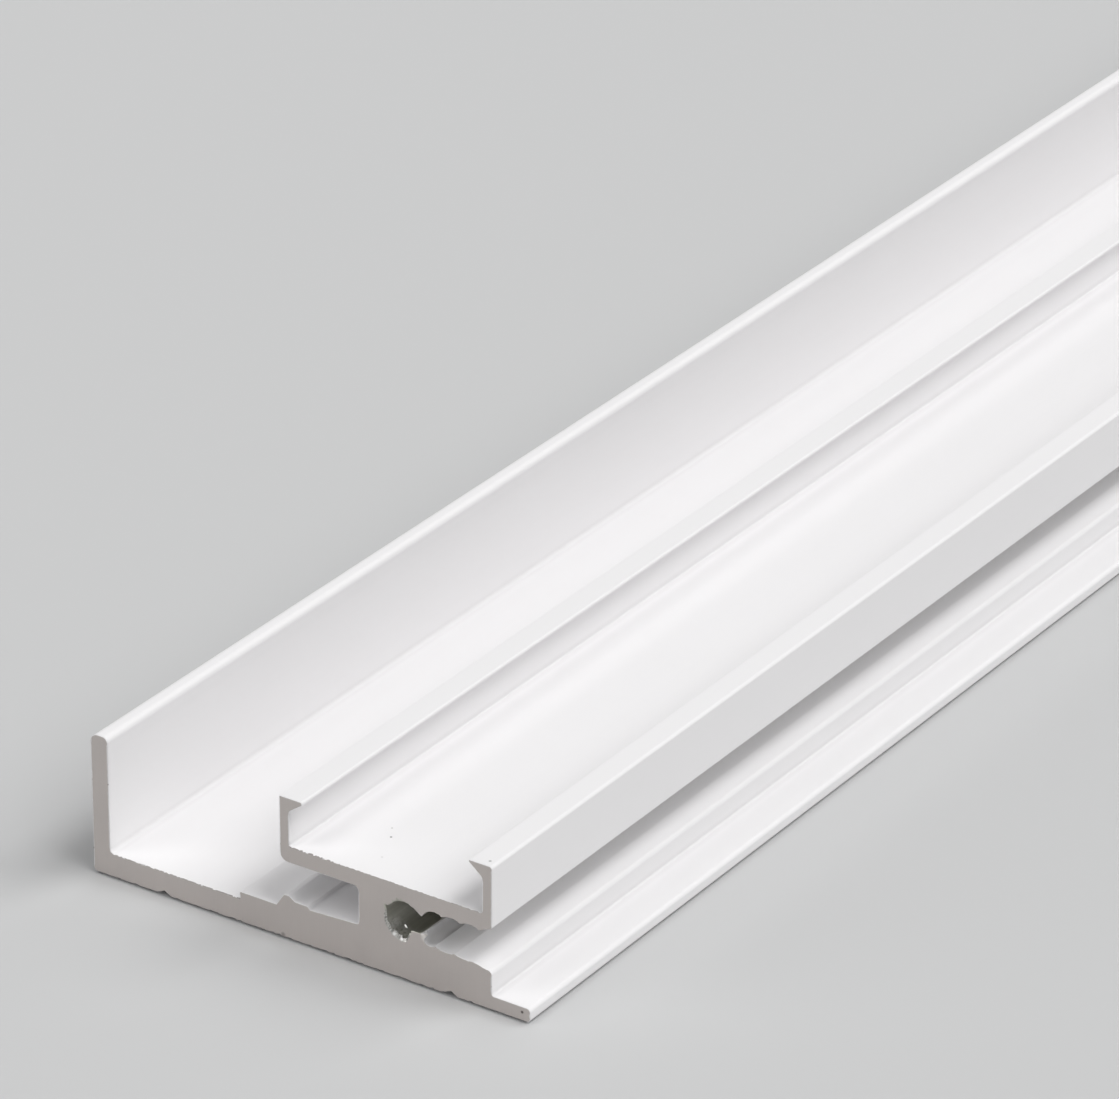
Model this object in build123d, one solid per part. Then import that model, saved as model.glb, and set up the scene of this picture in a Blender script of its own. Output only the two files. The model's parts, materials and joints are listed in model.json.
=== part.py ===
from build123d import *
import os
from math import cos, radians, sin

# Aluminium edge profile with a strip tray, extruded in one piece and sawn to length. Millimetres.
# The section is drawn from its lower left corner, x across the stock and y up.
# The stock then runs along Y with its underside on Z = 0, and is centred on the origin in X and Y.

# Stock
length = 1000.0
width = 30.0
height = 9.0

# Wall flange along the left edge
flange_height = 8.9
flange_wall = 1.2
flange_tip_flat = 0.32
flange_inner_radius = 0.38
heel_radius = 0.3

# Base, with a raised landing that starts this far from the outer face of the wall flange
base_wall = 1.48
channel_corner_radius = 0.25
landing_inset = 10.3
landing_rise = 0.47
landing_edge_radius = 0.12

# Thin flange along the right edge
toe_reach = 2.56
toe_wall = 0.87
toe_tip_flat = 0.35
toe_root_radius = 0.15

# Tray, flush with the block below it on the right
tray_width = 14.3
tray_underside = 4.9
tray_floor_wall = 1.02
tray_side_wall = 0.65
tray_corner_radius = 0.12
tray_heel_radius = 0.55
tray_shoulder_radius = 0.2

# Lips that hook inwards at the top of the tray, the left one with a blunter tip
lip_reach = 0.9
left_lip_tip_wall = 0.2
right_lip_tip_wall = 0.12
lip_root_wall = 0.85
lip_root_radius = 0.3
left_lip_tip_radius = 0.14
right_lip_tip_radius = 0.06

# Pocket under the left half of the tray, behind a rib, with a ledge and a rising floor
pocket_depth = 5.35
rib_lead = 0.3
rib_rise_run = 0.55
rib_crest_run = 0.35
rib_fall_run = 0.4
rib_height = 2.76
rib_crest_radius = 0.2
ledge_run = 0.85
ledge_height = 2.5
ledge_fall_run = 0.2
pocket_floor_height = 2.32
pocket_heel_height = 2.5
pocket_heel_radius = 0.12
pocket_top_radius = 0.3

# Screw port behind the stem: a round bore, open on the right between a nib above and a lip below
stem_wall = 1.8
port_radius = 1.25
port_height = 3.68
nib_angle = 55.0
nib_flank = 0.6
lip_angle = -16.0
lip_flat = 0.15

# Serrated channel from the port to the right face: arcs from crest to crest, then a plain lead-in
serration_pitch = 1.25
serration_count = 3
serration_depth = 0.17
first_upper_serration_depth = 0.34
first_lower_serration_depth = 0.42
last_lower_serration_depth = 0.09
upper_crest_offset = 1.33
upper_crest_height = 4.76
lower_crest_offset = 0.78
lower_crest_height = 2.82
lower_crest_fall = 0.1
mouth_top = 5.15
mouth_bottom = 2.38
mouth_corner_radius = 0.3

# Shallow marking grooves along the underside, measured from the left edge
groove_places = (5.0, 24.72)
groove_width = 0.9
groove_depth = 0.24

# How far cuts run past the faces that they open
overrun = 1.0

# Places that follow from the sizes
block_right = width - toe_reach
tray_left = block_right - tray_width
tray_floor = tray_underside + tray_floor_wall
stem_left = tray_left + pocket_depth
landing_top = base_wall + landing_rise
port_centre = Vector(stem_left + stem_wall + port_radius, port_height)


def bar(left, bottom, right, top):
    """A rectangle given by its four sides."""
    return Pos(left, bottom) * Rectangle(right - left, top - bottom, align=(Align.MIN, Align.MIN))


def rounded(sketch, x, y, radius):
    """The sketch with its corner nearest to a point rounded."""
    corner = sketch.vertices().sort_by_distance(Vector(x, y))[0]
    return fillet(corner, radius)


def wall_flange():
    """Upright wall with a rounded top edge."""
    outer_radius = flange_wall - flange_tip_flat - flange_inner_radius
    wall = bar(0, 0, flange_wall, flange_height)
    wall = rounded(wall, 0, flange_height, outer_radius)
    wall = rounded(wall, flange_wall, flange_height, flange_inner_radius)
    return rounded(wall, 0, 0, heel_radius)


def base():
    """Flat base and its landing, from the wall flange to the stem."""
    landing = bar(landing_inset, 0, stem_left, landing_top)
    landing = rounded(landing, landing_inset, landing_top, landing_edge_radius)
    return bar(flange_wall / 2, 0, stem_left, base_wall) + landing


def pocket_bed():
    """Rib, ledge and rising floor of the pocket under the tray."""
    rib_start = tray_left - rib_lead
    crest_start = rib_start + rib_rise_run
    crest_end = crest_start + rib_crest_run
    ledge_start = crest_end + rib_fall_run
    ledge_end = ledge_start + ledge_run
    bed = Polygon(
        (rib_start, 0),
        (stem_left, 0),
        (stem_left, pocket_heel_height),
        (ledge_end + ledge_fall_run, pocket_floor_height),
        (ledge_end, ledge_height),
        (ledge_start, ledge_height),
        (crest_end, rib_height),
        (crest_start, rib_height),
        (rib_start, landing_top),
        align=None,
    )
    bed = rounded(bed, crest_start, rib_height, rib_crest_radius)
    return rounded(bed, crest_end, rib_height, rib_crest_radius)


def tray_space():
    """The open space of the tray, narrowed at the top by a hooked lip on each side."""
    left = tray_left + tray_side_wall
    right = block_right - tray_side_wall
    lip_root = height - lip_root_wall
    space = Polygon(
        (left, tray_floor),
        (right, tray_floor),
        (right, lip_root),
        (right - lip_reach, height - right_lip_tip_wall),
        (right - lip_reach, height + overrun),
        (left + lip_reach, height + overrun),
        (left + lip_reach, height - left_lip_tip_wall),
        (left, lip_root),
        align=None,
    )
    for side in (left, right):
        space = rounded(space, side, lip_root, lip_root_radius)
        space = rounded(space, side, tray_floor, tray_corner_radius)
    return space


def tray():
    """Open tray with a lip along each wall."""
    lip_inset = tray_side_wall + lip_reach
    shape = bar(tray_left, tray_underside, block_right, height) - tray_space()
    shape = rounded(shape, tray_left + lip_inset, height, left_lip_tip_radius)
    shape = rounded(shape, block_right - lip_inset, height, right_lip_tip_radius)
    shape = rounded(shape, block_right, height, tray_shoulder_radius)
    return rounded(shape, tray_left, tray_underside, tray_heel_radius)


def serrations(crests, depths):
    """Arcs from each crest to the next, bulging to the left of the way that they run."""
    return [SagittaArc(a, b, depth) for a, b, depth in zip(crests, crests[1:], depths)]


def screw_channel():
    """The open space of the screw port and of the serrated channel that leads into it."""
    nib_way = Vector(sin(radians(nib_angle)), -cos(radians(nib_angle)))
    nib_start = port_centre + Vector(cos(radians(nib_angle)), sin(radians(nib_angle))) * port_radius
    nib = nib_start + nib_way * nib_flank
    port_lip = port_centre + Vector(cos(radians(lip_angle)), sin(radians(lip_angle))) * port_radius
    upper_crests = [nib]
    lip_end = port_lip + Vector(lip_flat, 0)
    lower_crests = [lip_end]
    for number in range(serration_count):
        upper_x = nib.X + upper_crest_offset + number * serration_pitch
        lower_x = lip_end.X + lower_crest_offset + number * serration_pitch
        upper_crests.append(Vector(upper_x, upper_crest_height))
        lower_crests.append(Vector(lower_x, lower_crest_height - number * lower_crest_fall))
    upper_depths = [first_upper_serration_depth] + [serration_depth] * (serration_count - 1)
    lower_depths = [first_lower_serration_depth] + upper_depths[1:-1] + [last_lower_serration_depth]
    mouth = Polyline(
        upper_crests[-1],
        (block_right, mouth_top),
        (block_right + overrun, mouth_top),
        (block_right + overrun, mouth_bottom),
        (block_right, mouth_bottom),
        lower_crests[-1],
    )
    throat = Polyline(lip_end, port_lip, port_centre, nib_start, nib)
    upper = serrations(upper_crests, upper_depths)
    lower = serrations(lower_crests, [-depth for depth in lower_depths])
    return make_face([throat, *upper, mouth, *lower]) + Pos(port_centre) * Circle(port_radius)


def port_block():
    """Stem and block below the tray, up to the tray's floor, before the screw channel is cut."""
    return bar(stem_left, 0, block_right, tray_floor)


def toe_flange():
    """Thin flange with a rounded edge."""
    tip_radius = (toe_wall - toe_tip_flat) / 2
    toe = bar(block_right, 0, width, toe_wall)
    toe = rounded(toe, width, toe_wall, tip_radius)
    return rounded(toe, width, 0, tip_radius)


def groove(place):
    """V groove in the underside."""
    half = groove_width / 2
    return Polygon((place - half, 0), (place + half, 0), (place, groove_depth), align=None)


def section():
    """The whole section, with its elements joined and the corners between them rounded."""
    shape = wall_flange() + base() + pocket_bed() + tray() + port_block() + toe_flange()
    shape -= screw_channel()
    shape = rounded(shape, flange_wall, base_wall, channel_corner_radius)
    shape = rounded(shape, stem_left, pocket_heel_height, pocket_heel_radius)
    shape = rounded(shape, stem_left, tray_underside, pocket_top_radius)
    shape = rounded(shape, block_right, mouth_bottom, mouth_corner_radius)
    shape = rounded(shape, block_right, toe_wall, toe_root_radius)
    for place in groove_places:
        shape -= groove(place)
    return Pos(-width / 2, 0) * shape


profile = extrude(Plane.XZ * section(), amount=length / 2, both=True)

os.makedirs("parts", exist_ok=True)
export_step(profile, "parts/profile.step")
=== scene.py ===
import json
from math import atan2, cos, degrees, exp, radians, sin

import bmesh
import bpy
from mathutils import Matrix, Vector, noise


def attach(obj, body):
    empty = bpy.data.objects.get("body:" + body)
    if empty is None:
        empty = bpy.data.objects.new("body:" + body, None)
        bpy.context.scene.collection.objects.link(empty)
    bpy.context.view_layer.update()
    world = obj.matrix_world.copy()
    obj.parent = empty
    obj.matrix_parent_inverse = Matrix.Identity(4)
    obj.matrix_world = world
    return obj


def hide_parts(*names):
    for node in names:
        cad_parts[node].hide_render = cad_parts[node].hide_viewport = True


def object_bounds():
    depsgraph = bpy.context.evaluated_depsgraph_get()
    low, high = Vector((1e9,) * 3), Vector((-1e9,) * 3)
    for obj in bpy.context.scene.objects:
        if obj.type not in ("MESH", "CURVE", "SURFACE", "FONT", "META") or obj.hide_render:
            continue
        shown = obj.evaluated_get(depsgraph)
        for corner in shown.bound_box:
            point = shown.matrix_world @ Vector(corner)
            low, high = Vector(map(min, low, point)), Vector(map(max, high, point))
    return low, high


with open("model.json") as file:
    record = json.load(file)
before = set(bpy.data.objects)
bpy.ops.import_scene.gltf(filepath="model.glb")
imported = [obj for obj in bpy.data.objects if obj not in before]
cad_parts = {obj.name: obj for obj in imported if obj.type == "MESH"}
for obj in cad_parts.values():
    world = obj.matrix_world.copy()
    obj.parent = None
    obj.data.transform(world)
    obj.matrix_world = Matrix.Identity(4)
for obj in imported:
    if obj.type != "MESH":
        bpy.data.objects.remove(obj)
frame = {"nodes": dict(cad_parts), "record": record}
cad_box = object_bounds()


# Profile: one length of aluminium, extruded in one piece, powder coated white and then sawn across.
# The coat softens the section's sharp corners and stops at each saw cut in a thin, slightly ragged rim.
# The coat doesn't reach into the round screw port, so its wall is bare metal, with saw burrs at its mouth.
mm = 0.001
half_length = cad_box[1].y
mounts = {mount["name"]: mount for mount in frame["record"]["mounts"]}
port = mounts["screw_port"]
port_centre = Vector((port["pos_m"][0], port["pos_m"][2]))
port_radius = port["dims"]["r_mm"] * mm
port_nib_angle = 55
port_wall_angle = 289

# Heights and walls of the section, and boxes in it that are given by their left, right, bottom and top.
base_top = 1.48 * mm
tray_floor = mounts["strip_seat"]["pos_m"][2]
toe_top = 0.87 * mm
flange_inner = -13.8 * mm
tray_left_inner = -1.21 * mm
tray_right_inner = 11.79 * mm
block_right = mounts["serrated_channel"]["pos_m"][0]
groove_top = 0.3 * mm
first_flute = Vector((7.2, 9.07, 4.34, 5.0)) * mm
port_lip = Vector((7.74, 8.3, 2.6, 3.36)) * mm
serrated_channel = Vector((7.75, 12.5, 2.2, 5.3)) * mm
ragged_tray = Vector((-1.0, 1.6, 5.87, 5.97)) * mm
ragged_base = Vector((-13.4, -4.8, 1.43, 1.53)) * mm

# The coat's corners and its rim at the saw cuts.
corner_softening = 0.06 * mm
corner_softening_angle = radians(25)
corner_least_wall = 0.1 * mm
end_zone = 0.35 * mm
rim_step = 0.12 * mm
rim_least_run = 0.055 * mm
rim_setback = 0.02 * mm
port_rim_step = 0.06 * mm
coat_thickness = 0.03 * mm
coat_edge_spread = 0.03 * mm
coat_stray = 0.02 * mm
ragged_stray = 0.05 * mm
underside_chips = 0.09 * mm
underside_setback = 0.12 * mm
flute_chips = 0.08 * mm
upright = 0.3

# Damage round the port's mouth at the near end, each by its reach, its middle and its spread round the port.
large_burr = (0.25 * mm, 195, 44)
small_burr = (0.07 * mm, 132, 28)
smeared_flap = (0.46 * mm, 256, 26)
torn_teeth = (0.30 * mm, 62, 45)
broken_edge = (0.07 * mm, 165, 45)
chip_in_wall = (0.19 * mm, 97, 7)
burr_least = 0.01 * mm
burr_usual = 0.02 * mm
burr_lean = 0.4
bright_burr_from, bright_burr_to = 112, 242
port_surround = 1.3 * port_radius
drag_reach = 0.25 * mm
drag_run = 0.1 * mm
drag_middle = 3.33 * mm
drag_spread = 0.3 * mm
COAT, SAWN, BARE, BURR = range(4)

stock = bmesh.new()
stock.from_mesh(frame["nodes"]["profile"].data)
bmesh.ops.remove_doubles(stock, verts=stock.verts, dist=1e-7)
bmesh.ops.dissolve_limit(stock, angle_limit=0.002, verts=stock.verts, edges=stock.edges)


def section_place(co):
    """A point's place in the section: across the stock and up."""
    return Vector((co.x, co.z))


def in_box(co, box):
    """Does a point lie in a box of the section?"""
    left, right, bottom, top = box
    return left < co.x < right and bottom < co.z < top


def round_port(co):
    """How far round the port's wall a point lies, in degrees from the nib above its mouth."""
    way = section_place(co) - port_centre
    return (degrees(atan2(way.y, way.x)) - port_nib_angle) % 360


def by_port(co):
    """Does a point lie on the port's round wall?"""
    return abs((section_place(co) - port_centre).length - port_radius) < 0.004 * mm


def runs_along(edge):
    """Does an edge run the whole length of the stock?"""
    return edge.calc_length() > half_length


def is_sharp_corner(edge):
    """Is an edge a sharp outer corner of the section, between walls wide enough for the coat to round it?"""
    if not runs_along(edge) or not edge.is_convex or edge.calc_face_angle() < corner_softening_angle:
        return False
    return all(face.calc_area() > corner_least_wall * edge.calc_length() for face in edge.link_faces)


sharp_corners = [edge for edge in stock.edges if is_sharp_corner(edge)]
bmesh.ops.bevel(
    stock,
    geom=sharp_corners,
    offset=corner_softening,
    affect="EDGES",
    segments=2,
    profile=0.5,
    material=-1,
)
for end in (-1, 1):
    bmesh.ops.bisect_plane(
        stock,
        geom=stock.verts[:] + stock.edges[:] + stock.faces[:],
        plane_co=(0, end * (half_length - end_zone), 0),
        plane_no=(0, 1, 0),
    )

# The first arc above the channel, beside the port's nib, has no coat either.
for face in stock.faces:
    if abs(face.normal.y) > 0.5:
        face.material_index = SAWN
    elif all(by_port(vert.co) for vert in face.verts) or in_box(face.calc_center_median(), first_flute):
        face.material_index = BARE


def swell(along, middle, spread, power=2):
    """A smooth rise and fall, 1 at its middle. A higher power makes it flatter on top."""
    return exp(-(((along - middle) / spread) ** power))


def reach_at(angle, damage, power=2):
    """How far one kind of damage reaches at an angle round the port."""
    reach, middle, spread = damage
    return reach * swell(angle, middle, spread, power)


def roughness_at(co, grain, seed):
    """Noise over the section, with so many grains to a millimetre."""
    return noise.noise(Vector((co.x / mm * grain, co.z / mm * grain, seed)))


def tied(angle):
    """Torn and smeared metal ends a little before the port's mouth."""
    return max(0, min(1, angle / 10, (port_wall_angle - angle) / 8))


def torn(co, end):
    """How far torn metal stands into the port at its mouth: most at the near end's lower left."""
    angle = round_port(co)
    reach = burr_usual
    if end < 0:
        coarse, fine = roughness_at(co, grain=5.5, seed=-7.3), roughness_at(co, grain=14, seed=-3.1)
        burr = reach_at(angle, large_burr) + reach_at(angle, small_burr)
        reach += burr * (0.75 + 0.6 * coarse + 0.6 * fine)
    return max(reach, burr_least) * tied(angle)


def smeared(co, end):
    """How far the saw smeared the cut face over the port. Less than 0 is metal broken off its edge."""
    if end > 0:
        return 0
    angle = round_port(co)
    ragged, jagged = roughness_at(co, grain=6, seed=4.4), roughness_at(co, grain=9, seed=8.2)
    flap = reach_at(angle, smeared_flap, power=4) * (1 + 0.3 * ragged)
    teeth = reach_at(angle, torn_teeth) * (jagged + 0.4 * ragged)
    broken = reach_at(angle, broken_edge) * (0.7 + ragged)
    return (flap + teeth - broken) * tied(angle)


def scooped(co, end):
    """How far a chip broken out of the port's wall reaches outwards at the near cut."""
    return reach_at(round_port(co), chip_in_wall) if end < 0 else 0


def dragged(co, end):
    """How far the saw dragged the lip below the port's mouth over the first lower flute, at the near end."""
    if end > 0 or not in_box(co, port_lip):
        return 0
    return drag_reach * swell(co.z, drag_middle, drag_spread) * min(1, (co.x - port_lip[0]) / drag_run)


def raggedness(co):
    """How far the coat's edge at the saw cut strays: most on the base and the left of the tray's floor."""
    return ragged_stray if in_box(co, ragged_tray) or in_box(co, ragged_base) else coat_stray


def rim_moves(outside, inside, rim, port_rim, end):
    """How far the saw moved a point of the rim and the point of the cut face beside it."""
    if outside in port_rim:
        into_port = (port_centre - section_place(outside.co)).normalized()
        into_port = Vector((into_port.x, 0, into_port.y))
        over, tear, scoop = smeared(outside.co, end), torn(outside.co, end), scooped(outside.co, end)
        back = Vector((0, end * burr_lean * tear, 0))
        return {inside: into_port * (over - scoop), outside: into_port * (max(over, 0) + tear - scoop) - back}
    drag = Vector((dragged(outside.co, end), 0, 0))
    if drag.x:
        return {inside: drag, outside: drag}
    beside = [edge.calc_length() for edge in outside.link_edges if set(edge.verts) <= rim]
    near_port = (section_place(outside.co) - port_centre).length < port_surround
    if near_port or min(beside) < rim_least_run:
        return {}
    inwards = (inside.co - outside.co).normalized()
    coarse = roughness_at(inside.co, grain=4.2, seed=end * 11.7)
    fine = roughness_at(inside.co, grain=11, seed=end * 2.9)
    chip = max(0, coarse + 0.6 * fine)
    if in_box(outside.co, serrated_channel):
        return {inside: inwards * flute_chips * chip, outside: inwards * flute_chips * chip}
    stray = raggedness(outside.co) * (0.7 * coarse + 0.5 * fine)
    if abs(inwards.z) < upright:
        stray += coat_edge_spread
    stray = inwards * max(stray, 0)
    if outside.co.z < groove_top and inwards.z > upright:
        lift = Vector((0, 0, underside_chips * chip))
        return {inside: stray + lift, outside: lift - Vector((0, end * underside_setback, 0))}
    return {inside: stray}


def saw_cut(end):
    """Gives the cut face at one end a rim, chipped and ragged as the saw left it, with burrs at the port."""
    cut = max(stock.faces, key=lambda face: face.calc_center_median().y * end)
    for edge in cut.edges[:]:
        step = port_rim_step if all(by_port(vert.co) for vert in edge.verts) else rim_step
        cuts = int(edge.calc_length() / step)
        if cuts:
            bmesh.ops.subdivide_edges(stock, edges=[edge], cuts=cuts)
    ring = bmesh.ops.inset_region(
        stock, faces=[cut], thickness=coat_thickness, use_boundary=True, use_even_offset=True
    )["faces"]
    rim = {vert for face in ring for vert in face.verts} - set(cut.verts)
    port_rim = {vert for vert in rim if by_port(vert.co)}
    moves = {}
    for face in ring:
        outer = [vert for vert in face.verts if vert in rim]
        face.material_index = SAWN if all(in_box(vert.co, serrated_channel) for vert in outer) else COAT
        if all(vert in port_rim for vert in outer):
            is_bright = end < 0 and bright_burr_from < round_port(outer[0].co) < bright_burr_to
            face.material_index = BURR if is_bright else BARE
        for edge in face.edges:
            outside = [vert for vert in edge.verts if vert in rim]
            if len(outside) == 1:
                moves.update(rim_moves(outside[0], edge.other_vert(outside[0]), rim, port_rim, end))
    for vert in rim:
        if not in_box(vert.co, serrated_channel):
            vert.co.y -= end * rim_setback
    for vert, move in moves.items():
        vert.co += move


for end in (-1, 1):
    saw_cut(end)


def place(across, from_cut, up):
    """A place on the stock in millimetres: across it, from its near cut and up."""
    return Vector((across * mm, from_cut * mm - half_length, up * mm))


# Flecks of torn metal cling to the port's lower left wall and rim at the near end, and catch the light.
# Each has a place, a length and a width.
flecks = (
    (place(5.94, 1.10, 2.62), 0.17 * mm, 0.055 * mm),
    (place(5.88, 0.10, 2.63), 0.13 * mm, 0.050 * mm),
    (place(6.38, 0.10, 2.46), 0.11 * mm, 0.045 * mm),
)
fleck_normal = Vector((0.61, -0.68, 0.42)).normalized()
fleck_way = fleck_normal.cross(Vector((0.4, 0.8, 0.35))).normalized()
fleck_side = fleck_normal.cross(fleck_way)
fleck_thickness = 0.02 * mm
for fleck_place, fleck_length, fleck_width in flecks:
    sides = (fleck_way * fleck_length, fleck_side * fleck_width, fleck_normal * fleck_thickness)
    shape = Matrix.Translation(fleck_place) @ Matrix(sides).transposed().to_4x4()
    fleck = bmesh.ops.create_icosphere(stock, subdivisions=2, radius=1, matrix=shape)
    for face in {face for vert in fleck["verts"] for face in vert.link_faces}:
        face.material_index = BURR

mesh = bpy.data.meshes.new("profile_stock")
stock.to_mesh(mesh)
stock.free()
mesh.shade_smooth()
mesh.set_sharp_from_angle(angle=radians(24))
profile = bpy.data.objects.new("profile_stock", mesh)
bpy.context.scene.collection.objects.link(profile)
flatten = profile.modifiers.new("flat faces stay flat", "WEIGHTED_NORMAL")
flatten.mode = "FACE_AREA"
flatten.keep_sharp = True
flatten.weight = 100


def add_node(tree, kind, inputs=(), **settings):
    """A new node, with its settings and with values or links for its inputs."""
    made = tree.nodes.new(kind)
    for name, value in settings.items():
        setattr(made, name, value)
    for name, value in dict(inputs).items():
        if isinstance(value, bpy.types.NodeSocket):
            tree.links.new(value, made.inputs[name])
        else:
            made.inputs[name].default_value = value
    return made


def new_effect(name, inputs, output):
    """An empty shader node group for an effect in several materials, with its way in and its way out."""
    group = bpy.data.node_groups.new(name, "ShaderNodeTree")
    for socket_name, kind in inputs:
        group.interface.new_socket(socket_name, in_out="INPUT", socket_type=kind)
    group.interface.new_socket(output, in_out="OUTPUT", socket_type="NodeSocketFloat")
    return group, add_node(group, "NodeGroupInput").outputs, add_node(group, "NodeGroupOutput").inputs[output]


def new_material(name):
    """An empty node material, its Principled shader and its Object coordinates."""
    material = bpy.data.materials.new(name)
    material.use_nodes = True
    tree = material.node_tree
    tree.nodes.clear()
    shader = add_node(tree, "ShaderNodeBsdfPrincipled")
    output = add_node(tree, "ShaderNodeOutputMaterial")
    tree.links.new(shader.outputs["BSDF"], output.inputs["Surface"])
    coordinates = add_node(tree, "ShaderNodeTexCoord").outputs["Object"]
    return material, tree, shader, coordinates


def combined(tree, operation, *values):
    """Values put together by a math operation."""
    return add_node(tree, "ShaderNodeMath", dict(enumerate(values)), operation=operation).outputs["Value"]


def ranged(tree, value, lowest, highest, to_lowest=0.0, to_highest=1.0):
    """A value between two bounds, brought to another range."""
    inputs = {0: value, 1: lowest, 2: highest, 3: to_lowest, 4: to_highest}
    return add_node(tree, "ShaderNodeMapRange", inputs).outputs[0]


def mixed(tree, mask, under, over):
    """One colour over another where a mask is 1."""
    made = add_node(tree, "ShaderNodeMix", {0: mask}, data_type="RGBA")
    for socket, colour in ((made.inputs[6], under), (made.inputs[7], over)):
        if isinstance(colour, bpy.types.NodeSocket):
            tree.links.new(colour, socket)
        else:
            socket.default_value = (*colour, 1)
    return made.outputs[2]


def bumped(tree, shader, height, strength, distance):
    """Gives a shader a fine relief."""
    inputs = {"Height": height, "Strength": strength, "Distance": distance}
    bump = add_node(tree, "ShaderNodeBump", inputs)
    tree.links.new(bump.outputs["Normal"], shader.inputs["Normal"])


# Grain is noise that can be drawn out along an axis, as the die, the saw and the powder leave it.
grain_inputs = (
    ("Coordinates", "NodeSocketVector"),
    ("Stretch", "NodeSocketVector"),
    ("Scale", "NodeSocketFloat"),
    ("Detail", "NodeSocketFloat"),
)
grain_effect, way_in, way_out = new_effect("grain", grain_inputs, "Grain")
drawn = {0: way_in["Coordinates"], 1: way_in["Stretch"]}
drawn = add_node(grain_effect, "ShaderNodeVectorMath", drawn, operation="MULTIPLY").outputs["Vector"]
grains = {"Vector": drawn, "Scale": way_in["Scale"], "Detail": way_in["Detail"]}
grains = add_node(grain_effect, "ShaderNodeTexNoise", grains).outputs["Fac"]
grain_effect.links.new(grains, way_out)

# A mark is a small spot at one place on the stock, such as a speck on the coat or a pit in the metal.
mark_inputs = (
    ("Coordinates", "NodeSocketVector"),
    ("Place", "NodeSocketVector"),
    ("Radius", "NodeSocketFloat"),
    ("Strength", "NodeSocketFloat"),
)
mark_effect, way_in, way_out = new_effect("mark", mark_inputs, "Mask")
away = {0: way_in["Coordinates"], 1: way_in["Place"]}
away = add_node(mark_effect, "ShaderNodeVectorMath", away, operation="DISTANCE").outputs["Value"]
inner = combined(mark_effect, "MULTIPLY", way_in["Radius"], 0.5)
outer = combined(mark_effect, "MULTIPLY", way_in["Radius"], 1.5)
faded = ranged(mark_effect, away, inner, outer, 1.0, 0.0)
mark_effect.links.new(combined(mark_effect, "MULTIPLY", faded, way_in["Strength"]), way_out)


def grain(tree, coordinates, stretch, scale, detail):
    """The grain effect in a material. A stretch below 1 draws it out along that axis."""
    inputs = {"Coordinates": coordinates, "Stretch": stretch, "Scale": scale, "Detail": detail}
    return add_node(tree, "ShaderNodeGroup", inputs, node_tree=grain_effect).outputs["Grain"]


def mark(tree, coordinates, spot, radius, strength):
    """The mark effect in a material."""
    inputs = {"Coordinates": coordinates, "Place": spot, "Radius": radius, "Strength": strength}
    return add_node(tree, "ShaderNodeGroup", inputs, node_tree=mark_effect).outputs["Mask"]


def spotted(tree, coordinates, colour, spots, spot_colour):
    """A colour with marks of another colour, each given by its place, radius and strength."""
    for spot, radius, strength in spots:
        colour = mixed(tree, mark(tree, coordinates, spot, radius, strength), colour, spot_colour)
    return colour


# The coat is a satin powder finish with faint mottle, orange peel and die lines that show through it.
# The inside corners and the recesses are painted greyer, as painted shade. The tray has a few specks.
# At the saw cut the coat is chipped to the metal along the base and the tray's floor.
coat_dark, coat_light = (0.805, 0.796, 0.802), (0.845, 0.836, 0.842)
corner_shade_grey = (0.70, 0.692, 0.697)
recess_shade_grey = (0.55, 0.543, 0.55)
speck_colour = (0.06, 0.055, 0.05)
chip_colour = (0.32, 0.30, 0.29)
chip_level = 0.04 * mm
base_chips = 0.05 * mm
tray_chips_least, tray_chips_most = 0.02 * mm, 0.10 * mm
specks = (
    (place(2.82, 4.12, 5.92), 0.06 * mm, 1.0),
    (place(2.28, 4.99, 5.92), 0.05 * mm, 0.55),
    (place(3.71, 1.99, 5.92), 0.06 * mm, 0.25),
    (place(11.96, 0.53, 9.00), 0.08 * mm, 0.55),
)
# Painted shade along the inside corners' fillets, each given by its place in the section, its radius and its
# strength.
painted_corner_shade = (
    ((flange_inner, 0, base_top), 0.3 * mm, 0.45),
    ((tray_left_inner, 0, tray_floor), 0.3 * mm, 0.45),
    ((tray_right_inner, 0, tray_floor), 0.3 * mm, 0.45),
    ((block_right, 0, toe_top), 0.3 * mm, 0.45),
)
# Painted shade in the recesses of the pocket and the serrated channel, each given by its place, its radius
# and its strength.
painted_recess_shade = (
    ((8.0 * mm, 0, 3.5 * mm), 1.3 * mm, 0.4),
    ((2.8 * mm, 0, 4.3 * mm), 0.8 * mm, 0.4),
)
white_coat, tree, shader, coordinates = new_material("white_powder_coat")
shader.inputs["Roughness"].default_value = 0.55
shader.inputs["Specular IOR Level"].default_value = 0.25
mottle = grain(tree, coordinates, (1, 0.25, 1), 130.0, 3.0)
die_lines = grain(tree, coordinates, (1, 0.004, 1), 2600.0, 2.0)
shade = combined(tree, "MULTIPLY_ADD", mottle, 0.75, combined(tree, "MULTIPLY", die_lines, 0.25))
colour = mixed(tree, shade, coat_dark, coat_light)
colour = spotted(tree, coordinates, colour, specks, speck_colour)
in_section = {0: coordinates, 1: (1, 0, 1)}
in_section = add_node(tree, "ShaderNodeVectorMath", in_section, operation="MULTIPLY").outputs["Vector"]
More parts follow.
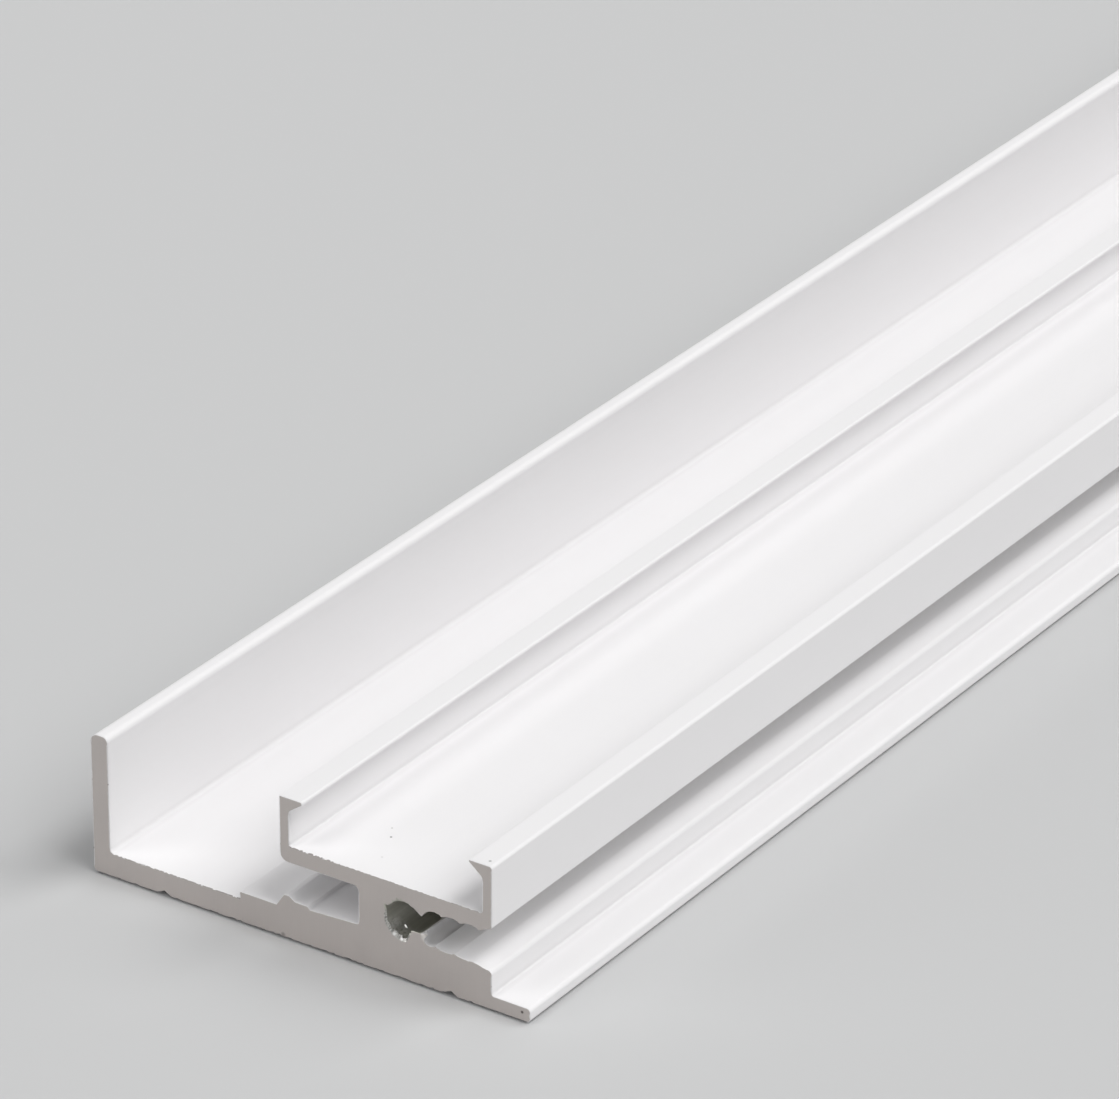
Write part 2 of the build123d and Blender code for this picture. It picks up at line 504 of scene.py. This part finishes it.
# Here the shade of the corners and the recesses is painted into the coat's colour.
colour = spotted(tree, in_section, colour, painted_corner_shade, corner_shade_grey)
colour = spotted(tree, in_section, colour, painted_recess_shade, recess_shade_grey)
parts = add_node(tree, "ShaderNodeSeparateXYZ", {0: coordinates}).outputs
from_cut = combined(tree, "SUBTRACT", half_length, combined(tree, "ABSOLUTE", parts["Y"]))
on_tray_floor = combined(tree, "COMPARE", parts["Z"], tray_floor, chip_level)
on_base = combined(tree, "COMPARE", parts["Z"], base_top, chip_level)
rough_run = mark(tree, coordinates, place(0.3, 0, 5.92), 1.4 * mm, 1.0)
tray_chips = ranged(tree, rough_run, 0.0, 1.0, tray_chips_least, tray_chips_most)
tray_chips = combined(tree, "MULTIPLY", on_tray_floor, tray_chips)
deepest = combined(tree, "MULTIPLY_ADD", on_base, base_chips, tray_chips)
teeth = ranged(tree, grain(tree, coordinates, (1, 0, 1), 5200.0, 2.0), 0.44, 0.62)
chipped = combined(tree, "LESS_THAN", from_cut, combined(tree, "MULTIPLY", teeth, deepest))
colour = mixed(tree, chipped, colour, chip_colour)
tree.links.new(colour, shader.inputs["Base Color"])
orange_peel = grain(tree, coordinates, (1, 1, 1), 900.0, 2.0)
bumped(tree, shader, orange_peel, 0.05, 0.1 * mm)

# The cut ends are sawn metal, dull and slightly warm, with fine saw lines and a pit or two.
# At the near end the saw smeared the port's lip paler.
sawn_dark, sawn_light = (0.518, 0.484, 0.466), (0.572, 0.535, 0.515)
pit_colour = (0.06, 0.05, 0.045)
smear_colour = (0.76, 0.735, 0.715)
pits = (
    (place(14.46, 0, 0.53), 0.08 * mm, 0.9),
    (place(-1.7, 0, 0.15), 0.12 * mm, 0.4),
)
pale_smears = (
    (place(7.82, 0, 3.30), 0.14 * mm, 1.0),
    (place(7.92, 0, 3.06), 0.18 * mm, 0.7),
)
sawn, tree, shader, coordinates = new_material("sawn_aluminium")
shader.inputs["Metallic"].default_value = 1.0
saw_lines = grain(tree, coordinates, (1, 1, 0.06), 9000.0, 3.0)
blotches = grain(tree, coordinates, (1, 1, 1), 420.0, 2.0)
shade = combined(tree, "MULTIPLY_ADD", saw_lines, 0.5, combined(tree, "MULTIPLY", blotches, 0.5))
colour = mixed(tree, shade, sawn_dark, sawn_light)
colour = spotted(tree, coordinates, colour, pits, pit_colour)
colour = spotted(tree, coordinates, colour, pale_smears, smear_colour)
tree.links.new(colour, shader.inputs["Base Color"])
tree.links.new(ranged(tree, blotches, 0.3, 0.7, 0.58, 0.68), shader.inputs["Roughness"])
bumped(tree, shader, saw_lines, 0.12, 0.02 * mm)

# Inside the port the metal is bare, dull from the die and streaked along the stock.
# At the lower left of its near mouth the saw scuffed the wall bright.
bare_dark, bare_light = (0.42, 0.415, 0.375), (0.57, 0.565, 0.515)
scuff_colour = (0.90, 0.89, 0.86)
bare, tree, shader, coordinates = new_material("bare_aluminium")
shader.inputs["Metallic"].default_value = 1.0
streaks = grain(tree, coordinates, (1, 0.02, 1), 4200.0, 3.0)
blotches = grain(tree, coordinates, (1, 0.4, 1), 2100.0, 2.0)
shade = combined(tree, "MULTIPLY_ADD", streaks, 0.6, combined(tree, "MULTIPLY", blotches, 0.4))
colour = mixed(tree, ranged(tree, shade, 0.3, 0.7), bare_dark, bare_light)
scuffed = mark(tree, coordinates, place(5.92, 0.40, 2.62), 0.72 * mm, 1.0)
scratches = grain(tree, coordinates, (1, 0.45, 1), 7000.0, 3.0)
scuffs = combined(tree, "MULTIPLY", scuffed, ranged(tree, scratches, 0.36, 0.56))
colour = mixed(tree, scuffs, colour, scuff_colour)
tree.links.new(colour, shader.inputs["Base Color"])
dull = ranged(tree, shade, 0.3, 0.7, 0.72, 0.6)
tree.links.new(combined(tree, "MULTIPLY_ADD", scuffs, -0.25, dull), shader.inputs["Roughness"])
scratched = combined(tree, "MULTIPLY", scuffed, scratches)
bumped(tree, shader, combined(tree, "MULTIPLY_ADD", scratched, 2.0, streaks), 0.35, 0.03 * mm)

# The burrs round the port are freshly torn metal, brighter than the rest and combed round the port.
torn_dark, torn_light = (0.26, 0.255, 0.24), (0.80, 0.79, 0.76)
fleck_colour = (0.94, 0.93, 0.91)
fleck_marks = [(fleck_place, fleck_length, 1.0) for fleck_place, fleck_length, fleck_width in flecks]
burrs, tree, shader, coordinates = new_material("torn_aluminium")
shader.inputs["Metallic"].default_value = 1.0
shader.inputs["Roughness"].default_value = 0.33
turned = add_node(tree, "ShaderNodeMapping", {"Vector": coordinates, "Rotation": (0, radians(45), 0)})
tears = grain(tree, turned.outputs["Vector"], (0.35, 1, 1.3), 12000.0, 2.0)
colour = mixed(tree, ranged(tree, tears, 0.40, 0.72), torn_dark, torn_light)
colour = spotted(tree, coordinates, colour, fleck_marks, fleck_colour)
tree.links.new(colour, shader.inputs["Base Color"])

for material in (white_coat, sawn, bare, burrs):
    mesh.materials.append(material)
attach(profile, "root")
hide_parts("profile")


# Floor: a wide sheet of pale grey paper that the stock lies on.
# The stock touches the sheet only here and there, so a hair of dark gap shows under its edges.
floor_gap = 0.14 * mm
floor_reach = 60.0
paper_grey = (0.565, 0.568, 0.57, 1)
paper = bmesh.new()
bmesh.ops.create_grid(paper, x_segments=1, y_segments=1, size=floor_reach)
bmesh.ops.translate(paper, verts=paper.verts, vec=(0, 0, -floor_gap))
sheet = bpy.data.meshes.new("floor")
paper.to_mesh(sheet)
paper.free()
floor = bpy.data.objects.new("floor", sheet)
bpy.context.scene.collection.objects.link(floor)
floor_paper, tree, shader, coordinates = new_material("floor_paper")
shader.inputs["Base Color"].default_value = paper_grey
shader.inputs["Roughness"].default_value = 0.9
shader.inputs["Specular IOR Level"].default_value = 0.2
sheet.materials.append(floor_paper)


# Light: softboxes behind on the right, almost overhead, behind and on the left, and low reflectors in front.
# What the camera, metal and gloss see behind the sheet is a backdrop of the same pale grey.
backdrop_grey = (0.585, 0.59, 0.59, 1)


def add_softbox(name, azimuth, elevation, spread, strength):
    """A soft lamp far off, given by where it stands as seen from the stock. Azimuth 0 is to its right."""
    azimuth, elevation = radians(azimuth), radians(elevation)
    way = Vector((cos(azimuth) * cos(elevation), sin(azimuth) * cos(elevation), sin(elevation)))
    lamp = bpy.data.lights.new(name, "SUN")
    lamp.energy = strength
    lamp.angle = radians(spread)
    softbox = bpy.data.objects.new(name, lamp)
    softbox.rotation_euler = way.to_track_quat("Z", "Y").to_euler()
    bpy.context.scene.collection.objects.link(softbox)


add_softbox("softbox_behind", azimuth=45, elevation=42, spread=40, strength=1.45)
add_softbox("softbox_overhead", azimuth=0, elevation=67, spread=25, strength=1.06)
add_softbox("softbox_rear", azimuth=120, elevation=68, spread=25, strength=0.38)
add_softbox("softbox_left", azimuth=235, elevation=60, spread=30, strength=0.52)
add_softbox("reflector_left", azimuth=225, elevation=20, spread=30, strength=0.72)
add_softbox("reflector_right", azimuth=335, elevation=30, spread=45, strength=0.60)

backdrop = bpy.data.worlds.new("backdrop")
backdrop.use_nodes = True
tree = backdrop.node_tree
path = add_node(tree, "ShaderNodeLightPath").outputs
seen = combined(tree, "MAXIMUM", path["Is Glossy Ray"], path["Is Transmission Ray"])
seen = combined(tree, "MAXIMUM", seen, path["Is Camera Ray"])
tree.nodes["Background"].inputs["Color"].default_value = backdrop_grey
tree.links.new(seen, tree.nodes["Background"].inputs["Strength"])
bpy.context.scene.world = backdrop


# Camera: a long lens at the photograph's angle, close to the near end of the stock.
# It stands in front of the cut end on the right and looks down along the stock.
camera_place = (0.19373, -0.76624, 0.19249)
azimuth, elevation, roll = radians(33.62), radians(26.99), radians(0.405)
ahead = Vector((-sin(azimuth) * cos(elevation), cos(azimuth) * cos(elevation), -sin(elevation)))
aside = Vector((cos(azimuth), sin(azimuth), 0))
above = aside.cross(ahead)
rolled_aside = aside * cos(roll) + above * sin(roll)
rolled_above = above * cos(roll) - aside * sin(roll)
turn = Matrix((rolled_aside, rolled_above, -ahead)).transposed()
lens = bpy.data.cameras.new("camera")
lens.sensor_width = 36.0
lens.lens = 218.87
lens.clip_start = 0.01
camera = bpy.data.objects.new("camera", lens)
camera.matrix_world = Matrix.Translation(camera_place) @ turn.to_4x4()
bpy.context.scene.collection.objects.link(camera)
bpy.context.scene.camera = camera
bpy.context.scene.view_settings.view_transform = "Standard"
